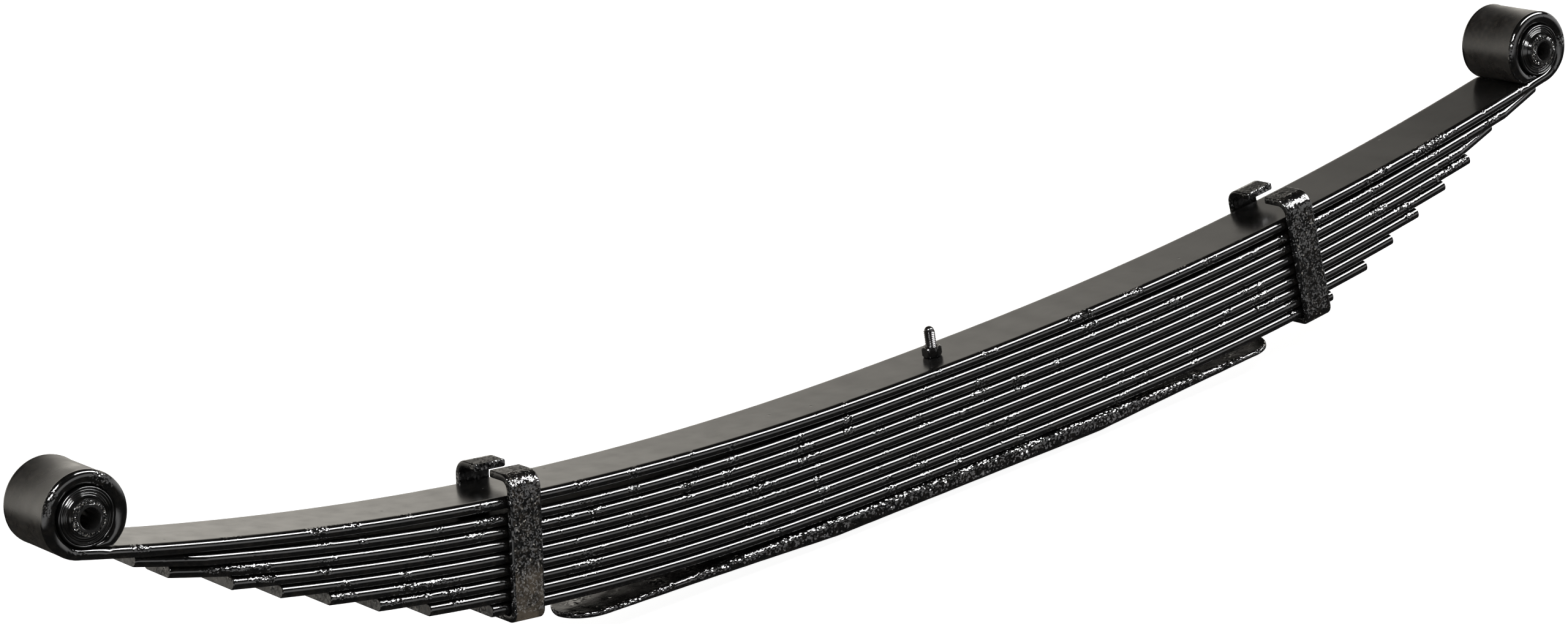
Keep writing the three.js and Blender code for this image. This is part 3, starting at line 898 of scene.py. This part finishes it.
tab_enamel = enamel(
    "tab_enamel", BLACK, (0.30, 0.45), 0.03, 0.10, grain=0.35, patch=(0.3, 0.6), pits=0.3,
    dust=0.06, shine=0.14,
)
FRONT_WORN = (0.068, 0.088)
# Both leg paints carry painted glints: pale spots standing in for sparks of light. The front leg's
# worn patch is real wear.
leg_paints = {
    -1: enamel(
        "front_leg_enamel", BLACK, (0.08, 0.2), 0.02, 0.10, grain=0.42, grain_size=800.0,
        patch=(0.1, 0.4), dust=0.2, worn=FRONT_WORN, glint_share=0.05,
    ),
    1: enamel(
        "rear_leg_enamel", BLACK, (0.08, 0.2), 0.02, 0.10, grain=0.34, grain_size=800.0,
        patch=(0.1, 0.5), dust=0.1, glint_share=0.02,
    ),
}
strap_edge_enamel = enamel(
    "strap_edge_enamel", BLACK, (0.08, 0.2), 0.02, 0.10, grain=1.0, grain_size=700.0,
    patch=(0.40, 0.65),
)


def clip_path(arc):
    """The strap's middle line across the spring, as (y, height, turn) from end to end."""
    wall = LEAF_WIDTH / 2 + CLIP_CLEARANCE + CLIP_THICK / 2
    base = -FIT_GAP - CLIP_THICK / 2
    roof = leaf_depth(PILE_COUNT - 1, arc) + LEAF_THICK + CLIP_HEAD_ROOM + CLIP_THICK / 2
    low = CLIP_BASE_RADIUS - CLIP_THICK / 2
    high = CLIP_TOP_RADIUS - CLIP_THICK / 2
    corners = (
        (wall - high, roof - high, high, 90, 0),
        (wall - low, base + low, low, 0, -90),
        (low - wall, base + low, low, -90, -180),
        (high - wall, roof - high, high, -180, -270),
    )
    path = [(CLIP_TAB_GAP / 2, roof)]
    for y, z, radius, start, end in corners:
        for i in range(BEND_STEPS + 1):
            angle = math.radians(start + (end - start) * i / BEND_STEPS)
            path.append((y + radius * math.cos(angle), z + radius * math.sin(angle)))
    path.append((-CLIP_TAB_GAP / 2, roof))
    return path


def filled_in(path, step):
    """The same path with points added along its long straights."""
    dense = []
    for a, b in zip(path, path[1:]):
        parts = max(1, round(math.dist(a, b) / step))
        for i in range(parts):
            dense.append((a[0] + (b[0] - a[0]) * i / parts, a[1] + (b[1] - a[1]) * i / parts))
    return dense + [path[-1]]


def strap_stations(arc):
    x, z, slope = camber(arc, leaf_depth(PILE_COUNT - 1, arc) + LEAF_THICK)
    tangent = Vector((math.cos(slope), 0.0, math.sin(slope)))
    upward = square_to(slope)
    path = filled_in(clip_path(arc), LEG_STEP)
    stations = []
    for i, (y, h) in enumerate(path):
        a, b = path[max(i - 1, 0)], path[min(i + 1, len(path) - 1)]
        run = (ACROSS * (b[0] - a[0]) + upward * (b[1] - a[1])).normalized()
        outward = tangent.cross(run)
        origin = Vector((x, 0.0, z)) + ACROSS * y + upward * h
        stations.append((origin, tangent, outward, CLIP_WIDTH, CLIP_THICK, CLIP_EDGE))
    return stations


def split_strap_paints(strap, arc):
    """Gives the flat tabs the duller paint; the legs and bends keep the grainy one."""
    wall = LEAF_WIDTH / 2 + CLIP_CLEARANCE - CLIP_TOP_RADIUS / 2
    floor = camber(arc, TAB_MARGIN - CLIP_HEAD_ROOM)[1]
    wears = []
    for face in strap.data.polygons:
        on_tab = abs(face.center.y) / MM < wall and face.center.z / MM > floor
        wears.append(TAB if on_tab and face.material_index == FLAT else face.material_index)
    strap.data.polygons.foreach_set("material_index", wears)


clip_bodies = {-1: "front", 1: "rear"}
for side, end in clip_bodies.items():
    arc = CLIP_ARCS[side]
    strap = swept(
        end + "_strap", strap_stations(arc),
        [leg_paints[side], strap_edge_enamel, strap_edge_enamel, tab_enamel], CLIP_WOBBLE,
    )
    split_strap_paints(strap, arc)
    foot = camber(arc, leaf_depth(PILE_COUNT - 1, arc) + LEAF_THICK)
    drill(strap, *foot, RIVET_HOLE_RADIUS, 4 * CLIP_THICK)
    fitted(strap, end + "_clip", end + "_clip_body")
    print(end, "clip", [round(v, 3) for v in strap.dimensions])

# %% [markdown]
# Bolt, nut, rivets and bushes are all turned on a lathe, then threaded, chamfered or
# serrated. One helper turns a profile round an axis and lets a rule push the radius or the
# height of any point, which is enough for a screw thread, six flats and a toothed face.

# %% Lathe helper
UP = Vector((0.0, 0.0, 1.0))
FORWARD = Vector((1.0, 0.0, 0.0))
CORE = 0.05
DOME_STEPS = 8


def turned(
    name, profile, place, axis, up_axis, steps, paints,
    rule=None, wears=None, smooth=SMOOTH_ANGLE,
):
    """A closed lathe piece; profile is (radius, height), and rule may move a point."""
    side = axis.cross(up_axis)
    verts = []
    faces = []
    faces_wear = []
    n = len(profile)
    for s in range(steps):
        turn = 2 * math.pi * s / steps
        spoke = up_axis * math.cos(turn) + side * math.sin(turn)
        for radius, height in profile:
            if rule:
                radius, height = rule(radius, height, turn)
            verts.append((Vector(place) + spoke * radius + axis * height) * MM)
    for s in range(steps):
        for i in range(n):
            j = (i + 1) % n
            t = (s + 1) % steps
            faces.append((s * n + i, s * n + j, t * n + j, t * n + i))
            faces_wear.append(wears[i] if wears else 0)
    return piece(name, verts, faces, paints, faces_wear, smooth)


print("lathe ready, domes in", DOME_STEPS, "steps")

# %% [markdown]
# The centre bolt's thread shows above the nut. A thread is a wave that climbs one pitch
# in every turn, so the rule lowers the radius by a triangle wave of height and turn.

# %% Centre bolt and nut
BOLT_RADIUS = 4.76
BOLT_HEAD_RADIUS = 8.0
BOLT_HEAD_HEIGHT = 6.0
BOLT_ABOVE_LEAF = 25.7
BOLT_TIP_LENGTH = 3.5
BOLT_TIP_RADIUS = 4.0
BOLT_STEPS = 48
HEAD_ROUND = 1.2
HEAD_NICK = 0.3
HEAD_RISE = 0.35
THREAD_PITCH = 1.5875
THREAD_DEPTH = 0.75
THREAD_STEP = 0.2
THREAD_CORE = 1.5
NUT_FLATS = 14.3
NUT_HEIGHT = 8.4
NUT_CHAMFER = 1.3
NUT_BORE = 5.1
NUT_LEAD = 0.5
NUT_NICK = 0.3
NUT_RISE = 0.35
NUT_STEPS = 96
NUT_SMOOTH = math.radians(25)

stud_enamel = enamel("stud_enamel", BLACK, (0.12, 0.25), 0.01, 0.02, grain=0.25, dust=0.05)
nut_enamel = enamel("nut_enamel", BLACK, (0.06, 0.14), 0.01, 0.03, dust=0.03)


def threaded(radius, height, turn):
    """Lowers the stud's flank where the thread is cut."""
    cut = MAIN_TOP_Z <= height <= stud_top - BOLT_TIP_LENGTH
    if radius < BOLT_RADIUS - THREAD_CORE or not cut:
        return radius, height
    climb = (height / THREAD_PITCH - turn / (2 * math.pi)) % 1.0
    return radius - THREAD_DEPTH * abs(2 * climb - 1), height


stud_top = MAIN_TOP_Z + BOLT_ABOVE_LEAF
stud_profile = [
    (CORE, 0.0),
    (BOLT_HEAD_RADIUS - HEAD_ROUND, 0.0),
    (BOLT_HEAD_RADIUS - HEAD_NICK, HEAD_RISE),
    (BOLT_HEAD_RADIUS, HEAD_ROUND),
    (BOLT_HEAD_RADIUS, BOLT_HEAD_HEIGHT - HEAD_NICK),
    (BOLT_HEAD_RADIUS - HEAD_NICK, BOLT_HEAD_HEIGHT),
    (BOLT_RADIUS, BOLT_HEAD_HEIGHT),
    (BOLT_RADIUS, MAIN_TOP_Z),
]
levels = int((BOLT_ABOVE_LEAF - BOLT_TIP_LENGTH) / THREAD_STEP)
stud_profile += [(BOLT_RADIUS, MAIN_TOP_Z + (i + 1) * THREAD_STEP) for i in range(levels)]
for i in range(DOME_STEPS + 1):
    lean = math.pi / 2 * i / DOME_STEPS
    stud_profile.append((
        max(BOLT_TIP_RADIUS * math.cos(lean), CORE),
        stud_top - BOLT_TIP_LENGTH + BOLT_TIP_LENGTH * math.sin(lean),
    ))
bolt = turned(
    "centre_stud", stud_profile, (BOLT_X, 0.0, 0.0), UP, FORWARD, BOLT_STEPS,
    [stud_enamel], threaded,
)
fitted(bolt, "centre_bolt", "leaf_pack")


def six_flats(radius, height, turn):
    """Cuts a round blank down to a hexagon; the chamfer leaves curved corners."""
    if radius <= NUT_BORE + NUT_LEAD:
        return radius, height
    sixth = math.pi / 3
    off = (turn + sixth / 2) % sixth - sixth / 2
    return min(radius, NUT_FLATS / 2 / math.cos(off)), height


nut_corner = NUT_FLATS / math.sqrt(3)
half_nut = NUT_HEIGHT / 2
nut_top = [
    (nut_corner, half_nut - NUT_CHAMFER),
    (NUT_FLATS / 2 + NUT_NICK, half_nut - NUT_RISE),
    (NUT_FLATS / 2 - NUT_NICK, half_nut),
    (NUT_BORE + NUT_LEAD, half_nut),
    (NUT_BORE, half_nut - NUT_LEAD),
]
nut_profile = [(r, -h) for r, h in reversed(nut_top)] + [(nut_corner, 0.0)] + nut_top
nut_place = (BOLT_X, 0.0, MAIN_TOP_Z + FIT_GAP + half_nut)
nut = turned(
    "centre_stud_nut", nut_profile, nut_place, UP, FORWARD, NUT_STEPS, [nut_enamel], six_flats,
    smooth=NUT_SMOOTH,
)
fitted(nut, "centre_nut", "leaf_pack")
print("stud stands", BOLT_ABOVE_LEAF, "mm over the leaf, nut", NUT_FLATS, "mm across flats")

# %% [markdown]
# One rivet holds each clip to leaf 9. Its shank ends in a countersink inside the leaf and
# its hammered head shows underneath.

# %% Rivets
RIVET_RADIUS = 4.0
RIVET_SINK_RADIUS = 6.4
RIVET_SINK_DEPTH = 3.5
RIVET_HEAD_RADIUS = 8.0
RIVET_HEAD_HEIGHT = 4.0
RIVET_STEPS = 40
for side, end in clip_bodies.items():
    arc = CLIP_ARCS[side]
    x, z, slope = camber(arc, leaf_depth(PILE_COUNT - 1, arc) + LEAF_THICK)
    base = -2 * FIT_GAP - CLIP_THICK
    profile = []
    for i in range(DOME_STEPS + 1):
        lean = math.pi / 2 * i / DOME_STEPS
        dome = max(RIVET_HEAD_RADIUS * math.sin(lean), CORE)
        profile.append((dome, base - RIVET_HEAD_HEIGHT * math.cos(lean)))
    profile += [(RIVET_RADIUS, base), (RIVET_RADIUS, LEAF_THICK - RIVET_SINK_DEPTH - FIT_GAP)]
    profile += [(RIVET_SINK_RADIUS, LEAF_THICK - FIT_GAP), (CORE, LEAF_THICK - FIT_GAP)]
    rivet = turned(
        end + "_rivet", profile, (x, 0.0, z), square_to(slope), ACROSS, RIVET_STEPS, [stud_enamel],
    )
    fitted(rivet, end + "_clip_rivet", end + "_clip_body")
    print(end, "rivet head", 2 * RIVET_HEAD_RADIUS, "mm wide")

# %% [markdown]
# A bush fills each eye: a thin steel shell pressed into the barrel, moulded rubber with
# raised rings on its face, and an inner sleeve that stands out a little at each end. The
# sleeve's faces are serrated so that the hanger bolt grips them.

# %% Bushes
SHELL_OUTER = EYE_RADIUS - LEAF_THICK - FIT_GAP
SHELL_WALL = 1.7
SHELL_HALF = 32.6
SLEEVE_OUTER = 13.2
SLEEVE_BORE = 8.2
SLEEVE_HALF = 38.1
RUBBER_HALF = 32.0
RUBBER_RISE = 2.6
CUFF_START = 15.2
CUFF_WIDTH = 1.4
RIB_RADII = (19.5, 17.9, 16.3)
RIB_SPREAD = 0.42
RIB_HEIGHT = 0.8
RUBBER_RINGS = 46
TEETH = 56
TOOTH_STEPS = 6
TOOTH_DEPTH = 1.0
TOOTH_START = 10.6
TOOTH_RADII = (11.5, 12.4)
TOOTH_LEAD = 0.3
SLEEVE_CHAMFER = 0.8
SLEEVE_BREAK = 0.25
BUSH_STEPS = 96
SLEEVE_SMOOTH = math.radians(20)
FACE_MARGIN = 0.1

shell_enamel = enamel("shell_enamel", BLACK, (0.10, 0.2), 0.01, 0.03, grain=0.3)
sleeve_enamel = enamel(
    "sleeve_enamel", (0.012, 0.012, 0.012, 1.0), (0.06, 0.12), 0.01, 0.02, dust=0.05,
)
# The teeth carry painted glints: pale spots standing in for the sparkle of the serrations.
tooth_enamel = enamel(
    "tooth_enamel", (0.02, 0.02, 0.02, 1.0), (0.10, 0.2), 0.01, 0.02, grain=2.0,
    grain_size=900.0, patch=(0.1, 0.3), glint_share=0.2,
)
moulded_rubber = enamel("moulded_rubber", BLACK, (0.07, 0.12), 0.004, 0.05, dust=0.05)


def face_height(radius):
    """The rubber's end face: three thin rings, and a cuff that rises round the sleeve."""
    cuff = min(max((CUFF_START - radius) / CUFF_WIDTH, 0.0), 1.0)
    height = RUBBER_HALF + RUBBER_RISE * cuff
    for ring in RIB_RADII:
        height += RIB_HEIGHT * math.exp(-((radius - ring) / RIB_SPREAD) ** 2)
    return height


def rubber_profile():
    outer = SHELL_OUTER - SHELL_WALL - FIT_GAP
    inner = SLEEVE_OUTER + FIT_GAP
    radii = list(np.linspace(inner, outer, RUBBER_RINGS))
    near = [(r, -face_height(r)) for r in radii]
    far = [(r, face_height(r)) for r in reversed(radii)]
    return near + far


def serrated(radius, height, turn):
    """Cuts radial teeth into the outer part of the sleeve's two end faces."""
    if radius < TOOTH_START or abs(height) < SLEEVE_HALF - FACE_MARGIN:
        return radius, height
    wave = abs((turn * TEETH / (2 * math.pi)) % 1.0 - 0.5) * 2
    return radius, height - math.copysign(TOOTH_DEPTH * wave, height)


sleeve_face = [
    (SLEEVE_BORE, SLEEVE_HALF - SLEEVE_CHAMFER),
    (SLEEVE_BORE + SLEEVE_BREAK, SLEEVE_HALF - SLEEVE_BREAK),
    (SLEEVE_BORE + SLEEVE_CHAMFER, SLEEVE_HALF),
    (TOOTH_START - TOOTH_LEAD, SLEEVE_HALF),
    (TOOTH_START, SLEEVE_HALF),
    (TOOTH_RADII[0], SLEEVE_HALF),
    (TOOTH_RADII[1], SLEEVE_HALF),
    (SLEEVE_OUTER - TOOTH_LEAD, SLEEVE_HALF),
    (SLEEVE_OUTER, SLEEVE_HALF - SLEEVE_CHAMFER),
]
sleeve_profile = sleeve_face + [(r, -h) for r, h in reversed(sleeve_face)]
sleeve_wears = [
    int(min(a[0], b[0]) >= TOOTH_START and min(abs(a[1]), abs(b[1])) > SLEEVE_HALF - TOOTH_DEPTH)
    for a, b in zip(sleeve_profile, sleeve_profile[1:] + sleeve_profile[:1])
]
lip = SHELL_WALL / 2
shell_inner = SHELL_OUTER - SHELL_WALL
shell_profile = []
for sign in (1, -1):
    rim = []
    for i in range(DOME_STEPS + 1):
        lean = math.pi * i / DOME_STEPS
        across = shell_inner + lip - lip * math.cos(lean)
        rim.append((across, SHELL_HALF - lip + lip * math.sin(lean)))
    shell_profile += rim if sign > 0 else [(r, -h) for r, h in reversed(rim)]

for side, end in clip_bodies.items():
    low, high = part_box(end + "_bush_sleeve")
    centre = ((low.x + high.x) / 2 / MM, 0.0, (low.z + high.z) / 2 / MM)
    shell = turned(end + "_shell", shell_profile, centre, ACROSS, UP, BUSH_STEPS, [shell_enamel])
    rubber = turned(
        end + "_rubber", rubber_profile(), centre, ACROSS, UP, BUSH_STEPS, [moulded_rubber],
    )
    sleeve = turned(
        end + "_sleeve", sleeve_profile, centre, ACROSS, UP, TEETH * TOOTH_STEPS,
        [sleeve_enamel, tooth_enamel], serrated, sleeve_wears, SLEEVE_SMOOTH,
    )
    for thing, kind, body, slot in (
        (shell, "shell", end + "_eye", "bush_steel"),
        (rubber, "rubber", end + "_eye", "bush_rubber"),
        (sleeve, "sleeve", end + "_sleeve", "bush_steel"),
    ):
        fitted(thing, end + "_bush_" + kind, body)
    print(end, "bush at", [round(v, 1) for v in centre], "with", TEETH, "teeth")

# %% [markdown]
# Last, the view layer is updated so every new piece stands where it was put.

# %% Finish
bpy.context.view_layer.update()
